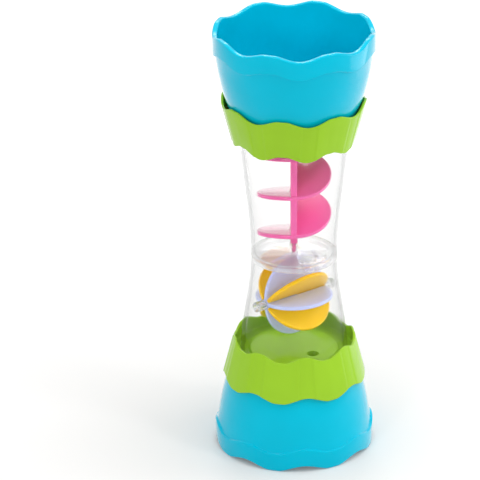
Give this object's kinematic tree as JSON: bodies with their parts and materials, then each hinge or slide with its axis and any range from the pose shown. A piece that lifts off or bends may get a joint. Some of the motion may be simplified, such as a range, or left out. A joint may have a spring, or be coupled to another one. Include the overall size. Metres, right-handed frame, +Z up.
{
  "type": "sand and water whirl toy",
  "caption": "Reversible hand-held sand and water toy: wavy-rimmed cups on a clear hourglass tube with a spinning auger above and a paddle wheel below.",
  "frame": {"origin": "middle of the plane on which the lower rim stands", "axes": "+Z up along the tube's axis; the pictured front is -Y and its right is +X"},
  "size_m": [0.079, 0.079, 0.22],
  "materials": {
    "cup_blue": "opaque glossy injection-moulded plastic",
    "collar_green": "opaque glossy injection-moulded plastic",
    "clear_tube": "clear polished plastic",
    "auger_pink": "opaque glossy plastic",
    "vane_lilac": "opaque satin plastic",
    "vane_yellow": "opaque satin plastic",
    "axle_steel": "drawn steel pin"
  },
  "bodies": {
    "housing": {"upper_cup": "cup_blue", "lower_cup": "cup_blue", "upper_collar": "collar_green", "lower_collar": "collar_green", "upper_tube": "clear_tube", "lower_tube": "clear_tube", "flow_plate": "clear_tube", "near_axle_bush": "clear_tube", "far_axle_bush": "clear_tube"},
    "auger": {"auger": "auger_pink"},
    "wheel": {"lilac_rotor": "vane_lilac", "yellow_rotor": "vane_yellow", "wheel_axle": "axle_steel"}
  },
  "joints": [
    {"name": "auger_spin", "type": "hinge", "parent": "housing", "child": "auger", "pos_m": [0, 0, 0.13], "axis": [0, 0, 1], "continuous": true},
    {"name": "wheel_spin", "type": "hinge", "parent": "housing", "child": "wheel", "pos_m": [0, 0, 0.0785], "axis": [0.788, 0.6157, 0], "continuous": true}
  ]
}
